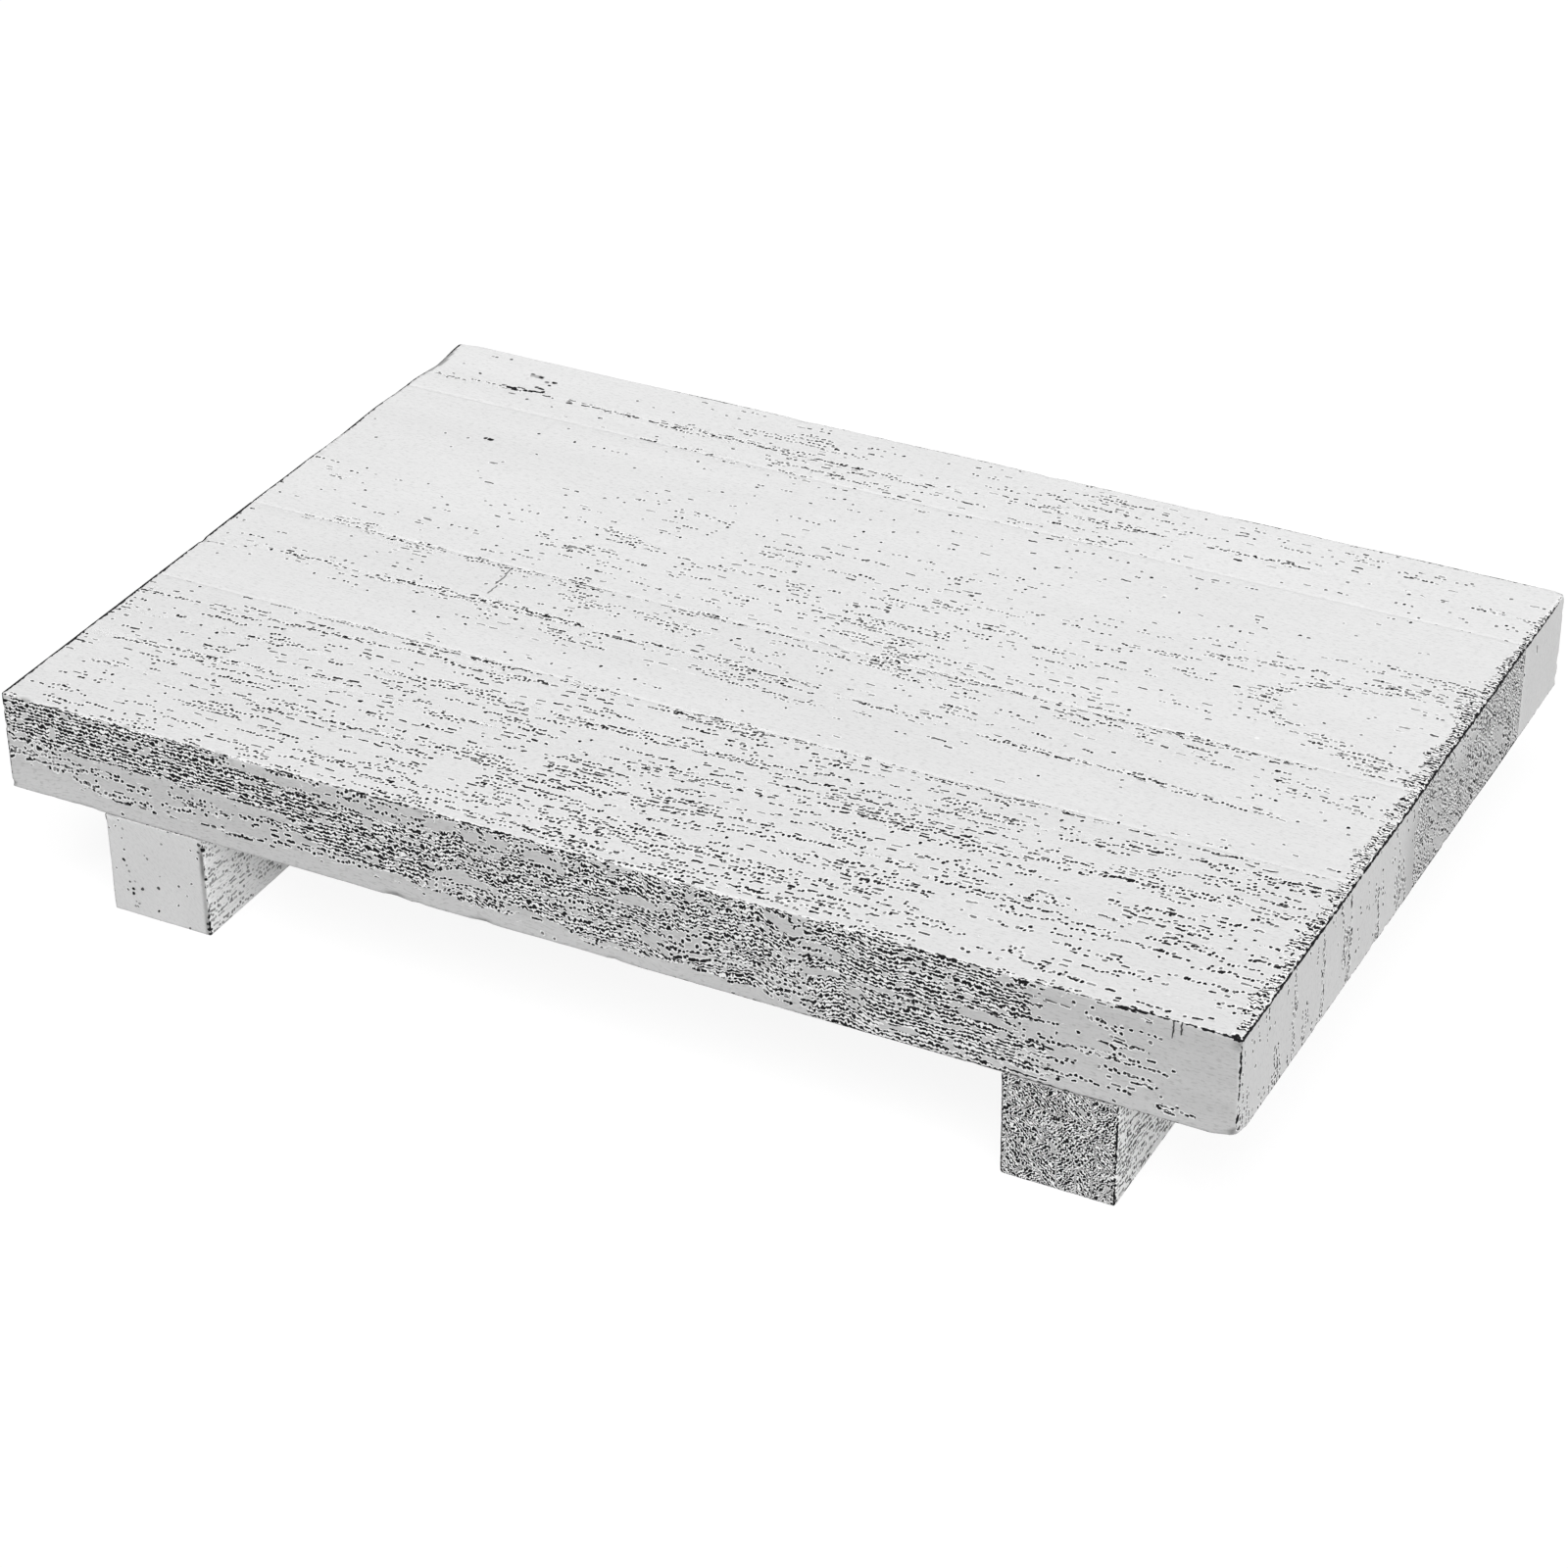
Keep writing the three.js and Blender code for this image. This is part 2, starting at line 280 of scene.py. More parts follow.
def top_pores(x, y):
    front = fall(y, JOINTS[0] - 0.3, JOINTS[0] + 0.3)
    back = ramp(y, JOINTS[2] - 0.5, JOINTS[2] + 0.5)
    figure = window(y, 3, 36, 3) * (1 - front)
    base = 0.07 + 0.21 * front + 0.05 * figure + 0.02 * back
    base = base + 0.06 * window(y, -16, 1, 2) + 0.06 * window(y, 56, 64, 1.5)
    base = base * (0.5 + noise(x, y, 22, 2.4, 1))
    base = base * (1 - 0.45 * window(y, -29.6, -18.5, 1))
    base = base * (1 - 0.75 * ramp(-x, 45, 75) * ramp(y, 15, 30))
    base = base * (0.55 + 0.45 * ramp(x, -118, -60))
    base = base * (1 - 0.55 * ramp(x, 40, 85) * ramp(y, -34, -10))
    total = np.maximum(base, ring_pores(x, y))
    for cx, cy, half_u, half_v, strength in CLUSTERS:
        total = total + 0.8 * strength * patch(x, y, cx, cy, half_u, half_v)
    for ax, ay, spread, half_width, strength in ARCHES:
        reach = np.sqrt(np.maximum(x - ax, 0))
        off = np.abs(y - ay) - spread * reach
        before = np.maximum(ax - x, 0)
        total = total + strength * patch(off, before, 0, 0, half_width, 4)
    return np.maximum(np.clip(total, 0, 0.64), 0.84 * worn_band(x, y))


def worn_band(x, y):
    """1 in the worn band beside the right arris of the top, whose inner edge is ragged."""
    width = 2.0 + 4.2 * noise(y, y, 9, 9, 2) * noise(y, y, 1.3, 1.3, 6)
    width = 0.02 + width * (1 - 0.6 * ramp(y, 30, 62)) * fall(y, 66, 76)
    return fall(BOARD_HIGH[X] - x, width * 0.75, width * 1.2)


def front_stave_lane(x, y):
    """The place across the grain on the front stave, whose grain follows its rings."""
    shift = np.zeros(np.shape(x))
    lower = np.full(np.shape(x), BOARD_LOW[Y])
    lower_shift = np.zeros(np.shape(x))
    for ring in (FRONT_RING_D, FRONT_RING_C, FRONT_RING_B):
        upper = along(ring, x, 1)
        upper_shift = upper - along(ring, 0, 1)
        t = np.clip((y - lower) / (upper - lower), 0, 1)
        shift = np.where(y >= lower, lower_shift + t * (upper_shift - lower_shift), shift)
        lower, lower_shift = upper, upper_shift
    return y - shift


STAVE_TONES = (0.758, 0.768, 0.778, 0.795)
GROOVE_DEPTH = 0.08
GROOVE_HALF = 0.38


def look_top(x, y, z):
    stave = stave_of(y)
    lane = y
    if stave == 0:
        lane = front_stave_lane(x, y)
    elif stave == 1:
        lane = y - along(MIDDLE_RING, x, 1) - 13
    lane = lane + 0.6 * sway(x, y, 30, 12, 8)
    tone = STAVE_TONES[stave] + (0.03 * sway(x, y, 35, 7, 4) + 0.02 * sway(x, y, 90, 30, 7))
    worn = worn_band(x, y)
    ink = np.clip(0.78 + 0.17 * (stave == 0) + 0.3 * ring_pores(x, y) + worn, 0, 1)
    return new_look(
        x, lane, top_pores(x, y), tone, 0.4, ink, 1 - 0.4 * worn, groove=joint_groove(y)
    )


def joint_groove(y):
    """How deep the glue lines lie, as shallow grooves across y."""
    return sum(GROOVE_DEPTH * bell(y - place, GROOVE_HALF) for place in JOINTS)


def look_bottom(x, y, z):
    front = stave_of(y) == 0
    lane = y + 1.5 * sway(x, y, 40, 20, 8)
    patches = 0.2 + 2.6 * noise(x, y, 40, 3.2, 12) * noise(x, y, 18, 6, 13)
    tone = 0.78 + (0.05 * sway(x, y, 40, 8, 9) - 0.03 * front)
    pores = (0.3 + 0.3 * front) * patches
    return new_look(x, lane, pores, tone, 0.8, 0.8, groove=1.5 * joint_groove(y))


# Where the dense area in the left of the front edge ends below: (x, t)
DENSE_FOOT = [(-120, 0.43), (-78, 0.46), (-60, 0.60), (-42, 0.74), (-22, 0.84), (44, 0.84)]


def front_pores(x, t, lane):
    uneven = t + 0.10 * sway(x, x, 7, 7, 3)
    foot = along(DENSE_FOOT, x, 1)
    left = (1 - 0.12 * ramp(x, -50, -40)) * fall(uneven, foot - 0.05, foot + 0.05)
    left = left * fall(x, 36, 52)
    left = left * (1 - 0.5 * fall(uneven, 0.12, 0.26) * window(x, -62, -26, 8))
    low_left = 0.52 * window(t, 0.55, 0.82, 0.04) * window(x, -111, -38, 5)
    corner = 0.72 * fall(x, -112, -100) * fall(t, 0.6, 0.85)
    frayed = x + 16 * sway(x, lane, 40, 1.3, 4)
    right = 1.0 * window(x, 40, 200, 9) * fall(frayed, 74, 96)
    end = 0.22 * window(x, 88, 108, 4)
    total = np.maximum.reduce([left, low_left, corner, right, end])
    calm = noise(x, lane, 8, 1.8, 14)
    swirl = window(x, -44, 70, 10)
    total = total * (1 - 0.30 * fall(calm, 0.14, 0.34) * (0.4 + 0.6 * swirl))
    for cx, ct, half_u, half_t, strength in LENSES:
        off = np.hypot((x - cx) / half_u, (t - ct) / half_t)
        total = total * (1 - 0.6 * strength * fall(off, 0.6, 1.2))
    for cx, ct, half_u, half_t, strength in TUFTS:
        total = np.maximum(total, strength * patch(x, t, cx, ct, half_u, half_t))
    return np.clip(total, 0.012, 1)


# The front face's paint, set darker than the top's: painted shade on the face turned from the lamps
FRONT_TONE_WITH_PAINTED_SHADE = 0.592
FRONT_INK = 1.03


def look_front(x, y, z):
    t = (BOARD_HIGH[Z] - z) / BOARD_SIZE[Z]
    swirl = 0.15 + 0.85 * window(x, -40, 60, 14)
    bend = 1.9 * sway(x, z, 8, 24, 6) * swirl + 1.2 * sway(x, z, 3.2, 9, 2) * swirl
    rising = -0.22 * np.minimum(x + 106, 0) * ramp(t, 0.35, 1.0)
    lane = z + bend + rising
    # The front face's tone holds painted shade
    tone = FRONT_TONE_WITH_PAINTED_SHADE + (0.05 * sway(x, z, 30, 3, 3) + 0.03 * ramp(t, 0.7, 0.95))
    ink = FRONT_INK + 0.05 * fall(x, -40, 0) - 0.25 * window(x, -121, -104, 4) * ramp(t, 0.42, 0.55)
    dash = 1 - 0.5 * window(x, -40, 52, 8)
    return new_look(x, lane, front_pores(x, t, lane), tone, 0.6, ink, dash, depth=0.07)


def look_back(x, y, z):
    lane = z + 1.2 * sway(x, z, 30, 14, 6)
    pores = 0.08 + 0.9 * ramp(noise(x, z, 34, 2.6, 5), 0.5, 0.85) * noise(x, z, 20, 5, 8)
    return new_look(x, lane, pores, 0.78 + 0.03 * sway(x, z, 30, 4, 2), 0.8, 0.85)


# The growth rings' slope in the end of the back middle stave, and in the others
END_SLOPE = math.radians(38)
STEEP_SLOPE = math.radians(84)
# The ends' paint, set darker than the top's: painted shade on faces turned from the key lamp
END_TONE_WITH_PAINTED_SHADE = 0.725


def look_end(x, y, z):
    """The end grain of the four staves, at the left or the right end."""
    side = BOARD_HIGH[X] if x.mean() > 0 else BOARD_LOW[X]
    stave = stave_of(y)
    t = (BOARD_HIGH[Z] - z) / BOARD_SIZE[Z]
    slope = END_SLOPE if stave == 2 else STEEP_SLOPE
    run = y * math.cos(slope) - z * math.sin(slope)
    lane = y * math.sin(slope) + z * math.cos(slope) + 1.6 * sway(y, z, 9, 9, 3)
    pores, streak = 0.006, 0.35
    tone = END_TONE_WITH_PAINTED_SHADE + 0.02 * sway(y, z, 9, 7, 11)
    if stave == 2:
        blotch = noise(y + 0.6 * z, z, 7, 5, 9)
        pale = fall(t, 0.05, 0.4) * window(y, 7, 32, 3)
        pores = np.clip(0.58 + 0.36 * blotch - 0.25 * pale, 0, 0.9)
        streak += 0.6
        lane *= 1.15
        tone += -0.18 - 0.16 * (blotch - 0.4) + 0.12 * pale
    elif stave < 2:
        rings = np.zeros(len(y))
        for ring in RINGS[1:] + [[(-120, -5.8, 0.6), (120, -5.8, 0.6)]]:
            place = along(ring, side, 1) + 2.2 * t * noise(z, y, 9, 60, 4)
            off = y - place + 1.2 * sway(z, y, 4, 30, 6)
            line = bell(off, 0.9) + 0.3 * bell(off + 1.5, 1.6)
            rings = np.maximum(rings, line * (0.3 + 0.7 * ramp(t, 0.15, 0.6)))
        low_front = 0.40 * ramp(t, 0.35, 0.9) * fall(y, -66, -40)
        low_front += 0.7 * ramp(y, -9, 1) * (0.35 + 0.65 * ramp(t, 0.1, 0.5)) * noise(y, z, 2, 3, 1)
        tone -= 0.16 * ramp(y, -9, 1.5) * (0.4 + 0.6 * ramp(t, 0.1, 0.4))
        pores = np.maximum(1.3 * rings * noise(y, z, 7, 5, 3), low_front) + 0.09
    return new_look(run, lane, pores, tone, streak, 0.95, 0.2, groove=joint_groove(y))


BOARD_LOOKS = {
    (Z, 1): look_top, (Z, 0): look_bottom, (Y, 0): look_front,
    (Y, 1): look_back, (X, 0): look_end, (X, 1): look_end,
}

# The paint on the feet's ends is set darker than the top's; part of that is painted shade
SMOOTH_FOOT_TONE_WITH_PAINTED_SHADE = 0.69
ROUGH_FOOT_TONE_WITH_PAINTED_SHADE = 0.52
ROUGH_FOOT_INK = 1.09
# The feet's sides are painted paler than the rest: painted light that lifts the shade under the
# board
FOOT_SIDE_TONE_WITH_PAINTED_LIGHT = 0.93
# Smooth spots in the end of the right foot: (share of the width, t, half sizes)
FOOT_CALM = [
    (0.18, 0.63, 0.08, 0.07), (0.19, 0.8, 0.07, 0.07), (0.27, 0.72, 0.06, 0.05),
    (0.5, 0.31, 0.08, 0.06), (0.47, 0.6, 0.05, 0.05), (0.2, 0.05, 0.05, 0.03),
    (0.9, 0.27, 0.05, 0.05),
]


def foot_looks(low, high, rough):
    """The faces of a batten. Its grain runs along Y, so its front and back are end grain."""
    size = high - low

    def smooth_end(x, y, z):
        u = (x - low[X]) / size[X]
        t = (high[Z] - z) / size[Z]
        # Painted shade: a dark strip down the right arris of the end, where the bevel turns towards
        # the shaded side
        bevel_shade = window(u, 0.955, 1.1, 0.02) * window(t, 0.06, 1.1, 0.06)
        tone = SMOOTH_FOOT_TONE_WITH_PAINTED_SHADE + 0.03 * sway(x, z, 6, 6, 5)
        tone -= 0.36 * bevel_shade * (0.5 + noise(z, z, 3, 3, 8))
        return new_look(x - z, x + z, 0.03, tone, 0.35, dash=0.1, depth=0)

    def rough_end(x, y, z):
        u = (x - low[X]) / size[X]
        t = (high[Z] - z) / size[Z]
        rising, falling = (x - z) * math.sqrt(0.5), (x + z) * math.sqrt(0.5)
        turned = noise(x, z, 3.1, 3.1, 9) > 0.5
        run = np.where(turned, rising, falling)
        lane = np.where(turned, falling, rising) + 1.2 * sway(x, z, 6, 6, 6)
        calm = np.zeros(len(x))
        for cu, ct, half_u, half_t in FOOT_CALM:
            calm = np.maximum(calm, fall(np.hypot((u - cu) / half_u, (t - ct) / half_t), 0.8, 1.2))
        pores = 1 - (0.22 * calm + 0.12 * ramp(noise(x, z, 3, 3, 8), 0.62, 0.85))
        tone = ROUGH_FOOT_TONE_WITH_PAINTED_SHADE + 0.08 * sway(x, z, 3.4, 2.6, 4)
        depth = 0.10 * noise(x, z, 1.1, 1.1, 6)
        return new_look(1.35 * run, 1.32 * lane, pores, tone, 0.6, ROUGH_FOOT_INK, 0.3, depth)

    def side(x, y, z):
        curve = z + 3 * np.sin((y - low[Y]) / 38 + 0.4)
        pores = 0.36 + 0.14 * rough + 0.24 * ramp(noise(y, curve, 45, 2.4, 10), 0.3, 0.8)
        # The sides' paler tone is painted light
        tone = FOOT_SIDE_TONE_WITH_PAINTED_LIGHT + 0.05 * sway(y, z, 30, 2.4, 3)
        return new_look(y, curve, pores, tone, 1, 0.60 + 0.14 * rough, 1.5, 0.05)

    def flat(x, y, z):
        pores = 0.12 + 0.7 * ramp(noise(y, x, 45, 2.6, 7), 0.45, 0.9)
        return new_look(y, x + sway(y, x, 40, 12, 3), pores, 0.76, 0.9, 0.8, depth=0.05)

    end = rough_end if rough else smooth_end
    return {(Y, 0): end, (Y, 1): end, (X, 0): side, (X, 1): side, (Z, 0): flat, (Z, 1): flat}


# Blocks of wood as dense shells of quads
def grid_lines(low, high, step, fine_step, fine_low, fine_high):
    """Places along one axis, a step apart, and closer within fine_low and fine_high of its ends."""
    places = [low]
    while places[-1] < high - 1e-6:
        here = places[-1]
        near = here < low + fine_low - 1e-6 or here >= high - fine_high - 1e-6
        places.append(here + (fine_step if near else step))
        if high - places[-1] < 0.5 * fine_step:
            places[-1] = high
        elif here < high - fine_high < places[-1]:
            places[-1] = high - fine_high
    return np.array(places)


def shell(lines):
    """Grid places of a box's surface points, its quads, and the face (axis, side) of each quad."""
    counts = [len(line) for line in lines]
    corners, quads, faces = [], [], []
    start = 0
    for axis in (X, Y, Z):
        first, second = (axis + 1) % 3, (axis + 2) % 3
        a, b = np.meshgrid(np.arange(counts[first]), np.arange(counts[second]), indexing="ij")
        for side in (0, 1):
            place = np.zeros((a.size, 3), int)
            place[:, first] = a.ravel()
            place[:, second] = b.ravel()
            place[:, axis] = side * (counts[axis] - 1)
            ids = start + np.arange(a.size).reshape(a.shape)
            ring = [ids[:-1, :-1], ids[1:, :-1], ids[1:, 1:], ids[:-1, 1:]]
            if side == 0:
                ring.reverse()
            quad = np.stack([r.ravel() for r in ring], axis=1)
            corners.append(place)
            quads.append(quad)
            faces.append(np.full((len(quad), 2), (axis, side)))
            start += a.size
    corners = np.concatenate(corners)
    keys = (corners[:, 0] * counts[1] + corners[:, 1]) * counts[2] + corners[:, 2]
    _, first_of, index_of = np.unique(keys, return_index=True, return_inverse=True)
    return corners[first_of], index_of[np.concatenate(quads)], np.concatenate(faces)


ARRIS_RADIUS = 0.5


def arris_radius(p):
    """The worn radius of the nearest arris, which wanders along it."""
    slow = noise(p[:, X] + 2.3 * p[:, Z], p[:, Y], 16, 16, 1)
    quick = noise(p[:, X] + 1.7 * p[:, Z], p[:, Y], 3.5, 3.5, 2)
    return ARRIS_RADIUS * (0.55 + 0.55 * slow + 0.5 * quick * slow)


def rounded(p, low, high, radius):
    """Points of a box's surface moved onto rounded arrises, and the way out at each."""
    r = radius[:, None]
    core = np.clip(p, low + r, high - r)
    out = p - core
    reach = np.linalg.norm(out, axis=1)
    way = out / np.maximum(reach, 1e-9)[:, None]
    beyond = (reach >= radius * 0.999)[:, None]
    return np.where(beyond, core + r * way, p), way * beyond


def chips(p, low, high, count, seed):
    """How deep small chips bite at points near the arrises. They are longer along X."""
    rng = np.random.default_rng(seed)
    depth = np.zeros(len(p))
    for _ in range(count):
        axis = rng.integers(3)
        centre = np.where(rng.random(3) < 0.5, low, high).astype(float)
        centre[axis] = rng.uniform(low[axis], high[axis])
        size = rng.uniform(0.6, 1.5) * np.array([1.7, 1.0, 1.0])
        off = (((p - centre) / size) ** 2).sum(axis=1)
        depth = np.maximum(depth, rng.uniform(0.10, 0.30) * np.clip(1 - off, 0, 1))
    return depth


def line_widths(p, low, high, widths):
    """Half the width of the dark worn line on the nearest arris, each named by its two faces."""
    far = {
        "left": p[:, X] - low[X], "right": high[X] - p[:, X],
        "front": p[:, Y] - low[Y], "back": high[Y] - p[:, Y],
        "lower": p[:, Z] - low[Z], "upper": high[Z] - p[:, Z],
    }
    reach = np.stack([np.hypot(far[a], far[b]) for a, b, width in widths])
    width = np.stack([np.broadcast_to(width, len(p)) for a, b, width in widths])
    return np.take_along_axis(width, reach.argmin(axis=0)[None], axis=0)[0]


def board_widths(p):
    x, y, z = p.T
    broken = sway(x + z, y, 6, 6, 10)
    left = 0.70 + 0.30 * broken + 0.12 * ramp(y, 10, 50) + 0.50 * window(y, 66, 90, 4)
    front = 0.17 + 0.14 * broken + 0.13 * ramp(x, 45, 95) + 0.12 * window(x, -64, -14, 6)
    return line_widths(p, BOARD_LOW, BOARD_HIGH, [
        ("right", "upper", 0.30 - 0.08 * ramp(y, 55, 65) - 0.2 * ramp(y, 72, 79)),
        ("left", "upper", left),
        ("front", "upper", front),
        ("back", "upper", 0.45 * ramp(x, -80, -60) * fall(x, 112, 119) + 0.20 * broken),
        ("front", "lower", 0.12 + 0.20 * ramp(x, 0, 40) + 0.2 * broken),
        ("front", "right", 0.31 + 0.25 * broken),
        ("front", "left", 0.34),
        ("right", "lower", 0.05 + 0.13 * window(y, 0, 58, 8)),
        ("left", "lower", 0.12 + 0.2 * broken),
        ("back", "lower", 0.12 + 0.2 * broken),
        ("left", "back", 0.15),
        ("right", "back", 0.12),
    ])


def foot_widths(p, low, high, rough):
    broken = sway(p[:, X] + p[:, Y], p[:, Z], 5, 5, 12)
    return line_widths(p, low, high, [
        ("front", "right", 0.24 + 0.10 * rough + 0.1 * broken),
        ("front", "left", 0.16 + 0.22 * rough + 0.1 * broken),
        ("front", "lower", 0.06 + 0.20 * rough),
        ("back", "lower", 0.06 + 0.14 * rough),
        ("back", "right", 0.16),
        ("back", "left", 0.16),
        ("right", "lower", 0.12 + 0.2 * broken),
        ("left", "lower", 0.12 + 0.2 * broken),
    ] + [(side, "upper", 0) for side in ("front", "back", "left", "right")])


# How much a face glued to its neighbour counts beside a face that shows
CLOSED_SHARE = 0.01


def look_at(p, place, ends, looks, closed):
    """The looks of all faces put together at the points, and each face's places along the grain."""
    total = {name: np.zeros(len(p)) for name in SHARED + ("cut",)}
    share = np.zeros(len(p))
    grain = {}
    for (axis, side), face_look in looks.items():
        on = place[:, axis] == side * ends[axis]
        look = face_look(*p[on].T)
        shown = (axis, side) not in closed
        weight = 1 if shown else CLOSED_SHARE
        for name in SHARED:
            total[name][on] += weight * look[name]
        share[on] += weight
        if shown:
            total["cut"][on] = np.maximum(total["cut"][on], look["cut"])
        grain[axis, side] = np.zeros((len(p), 3))
        grain[axis, side][on] = np.stack([look[name] for name in GRAIN], axis=1)
    for name in SHARED:
        total[name] /= share
    return total, grain


# The flat map that the colours are baked to: the margin round each face, and how much room a face
# gets for its size, if nothing else is said, and the two ends
MAP_MARGIN = 0.012
PLAIN_WEIGHT = 0.3
END_WEIGHT = 0.8


def chart_places(p, quads, faces, low, high, long_axis, weights):
    """One band for each long face, two for one that shows, and a last band for the two ends."""
    short = [axis for axis in (X, Y, Z) if axis != long_axis]
    bands = []
    for axis in short:
        across = short[0] if axis == short[1] else short[1]
        for side in (0, 1):
            weight = weights.get((axis, side), PLAIN_WEIGHT)
            parts = 2 if weight >= 1 else 1
            bands += [(axis, side, across, half, parts, weight) for half in range(parts)]
    heights = [weight * (high - low)[across] for _, _, across, _, _, weight in bands]
    heights.append(END_WEIGHT * (high - low)[short].min())
    scale = (1 - MAP_MARGIN * (len(heights) + 1)) / sum(heights)
    uv = np.zeros(quads.shape + (2,))
    share = (p[quads] - low) / (high - low)
    middle = share[:, :, long_axis].mean(axis=1)
    base = MAP_MARGIN
    for (axis, side, across, half, parts, _), height in zip(bands, heights, strict=False):
        on = (faces == (axis, side)).all(axis=1)
        if parts == 2:
            on &= (middle < 0.5) == (half == 0)
        along_band = share[on][:, :, long_axis] * parts - half
        uv[on, :, 0] = MAP_MARGIN + (1 - 2 * MAP_MARGIN) * along_band
        uv[on, :, 1] = base + share[on][:, :, across] * height * scale
        base += height * scale + MAP_MARGIN
    for side in (0, 1):
        on = (faces == (long_axis, side)).all(axis=1)
        along_band = share[on][:, :, short[0]]
        uv[on, :, 0] = 0.5 * side + MAP_MARGIN + (0.5 - 2 * MAP_MARGIN) * along_band
        uv[on, :, 1] = base + share[on][:, :, short[1]] * heights[-1] * scale
    return np.clip(uv, 0.001, 0.999)


def put_in_scene(name, data):
    item = bpy.data.objects.new(name, data)
    bpy.context.scene.collection.objects.link(item)
    return item


def corner_grain(quads, faces, grain):
    corners = np.zeros(quads.shape + (3,))
    for (axis, side), places in grain.items():
        on = (faces == (axis, side)).all(axis=1)
        corners[on] = places[quads[on]]
    return corners


class Block:
    """A box of wood as a dense shell, with its faces' looks. Each axis has a row in steps."""

    def __init__(self, low, high, steps, looks, closed):
        lines = [grid_lines(low[axis], high[axis], *steps[axis]) for axis in (X, Y, Z)]
        self.low, self.high = low, high
        self.place, self.quads, self.faces = shell(lines)
        self.ends = [len(line) - 1 for line in lines]
        self.p = np.stack([lines[axis][self.place[:, axis]] for axis in (X, Y, Z)], axis=1)
        self.look, self.grain = look_at(self.p, self.place, self.ends, looks, closed)

    def make(self, node, moved, long_axis, weights, material):
        uv = chart_places(
            self.p, self.quads, self.faces, self.low, self.high, long_axis, weights
        )
        grain = corner_grain(self.quads, self.faces, self.grain)
        mesh = bpy.data.meshes.new(node + "_wood")
        mesh.from_pydata((moved * MM).tolist(), [], self.quads.tolist())
        layer = mesh.uv_layers.new(name="OFBake")
        layer.uv.foreach_set("vector", uv.reshape(-1).astype(np.float32))
        for key in SHARED + ("edge",):
            attribute = mesh.attributes.new(key, "FLOAT", "POINT")
            attribute.data.foreach_set("value", self.look[key].astype(np.float32))
        attribute = mesh.attributes.new("grain", "FLOAT_VECTOR", "CORNER")
        attribute.data.foreach_set("vector", grain.reshape(-1).astype(np.float32))
        mesh.materials.append(material)
        return put_in_scene(mesh.name, mesh)


# Screw holes, as turned cutters: points of (radius, height) on each
HOLE_SIDES = 48
MOUTH_RADIUS = 4.3
SHANK_RADIUS = 2.3
SEAT = 1.52
TIP_ROOM = 0.6
DRILL_POINT = 0.6 * SHANK_RADIUS
# How far a cutter reaches past the wood
PAST = 1
SCREW_PLACES = [tuple(((low + high) / 2)[:Z]) for low, high in screw_boxes]


def drill(piece, places, profile, wall):
    """Cut a turned hole through the piece at each place, with its own material on the wall."""
    turns = np.arange(HOLE_SIDES) * 2 * math.pi / HOLE_SIDES
    points, faces = [], []
    for cx, cy in places:
        start = len(points)
        points.append((cx, cy, profile[0][1]))
        for radius, height in profile[1:-1]:
            for a in turns:
                points.append((cx + radius * math.cos(a), cy + radius * math.sin(a), height))
        points.append((cx, cy, profile[-1][1]))
        last = len(points) - 1
        for k in range(HOLE_SIDES):
            after = (k + 1) % HOLE_SIDES
            faces.append((start, start + 1 + after, start + 1 + k))
            for ring in range(len(profile) - 3):
                low = start + 1 + ring * HOLE_SIDES
                high = low + HOLE_SIDES
                faces.append((low + k, low + after, high + after, high + k))
            top = last - HOLE_SIDES
            faces.append((last, top + k, top + after))
    mesh = bpy.data.meshes.new("cutter")
    mesh.from_pydata([tuple(c * MM for c in point) for point in points], [], faces)
    mesh.materials.append(wall)
    cutter = put_in_scene("cutter", mesh)
    modifier = piece.modifiers.new("holes", "BOOLEAN")
    modifier.operation = "DIFFERENCE"
    modifier.solver = "EXACT"
    modifier.material_mode = "TRANSFER"
    modifier.object = cutter
    seen = piece.evaluated_get(bpy.context.evaluated_depsgraph_get())
    drilled = bpy.data.meshes.new_from_object(seen)
    piece.modifiers.clear()
    piece.data = drilled
    bpy.data.objects.remove(cutter)


def finish_piece(piece, node):
    mesh = piece.data
    mesh.polygons.foreach_set("use_smooth", np.ones(len(mesh.polygons), bool))
    mesh.set_sharp_from_angle(angle=ARRIS_ANGLE)
    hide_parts(node)
    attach(piece, "root")


JOINT_INSET = 0.02
ARRIS_ANGLE = math.radians(50)
ARRIS_DROP = 0.45
# Half sizes of marks: this deep across the face they lie on, and the radius of each kind
MARK_DEPTH = 0.3
SPECK_RADIUS = 0.3
DRIP_RADIUS, DRIP_DARKNESS = 0.10, 0.9
DOT_SCALE = 0.75
BOARD_CHIPS, BOARD_CHIP_SEED = 60, 5
FOOT_CHIPS, FOOT_CHIP_SEED = 7, 50
# Each piece's own stretch of the endless paint texture, in millimetres
PAINT_STEP, BOARD_PAINT, FOOT_PAINT = 300.0, 11, 2011


def worn_corners(p):
    """How much rounder the worn stretches of the board's arrises are than the rest."""
    x, y, z = p.T
    back = 2.1 * ramp(y, 60, 70) * (1 - 0.65 * ramp(y, 70, 79.5))
    left = back + 0.6 * window(y, 50, 64, 4) + 0.3 * window(y, 24, 40, 5)
    left = fall(x, -118, -115) * ramp(z, 36, 38) * left
    foot = 1.2 * ramp(x, 115, 119) * fall(y, -79, -75) * fall(z, 22, 25)
    return left + foot


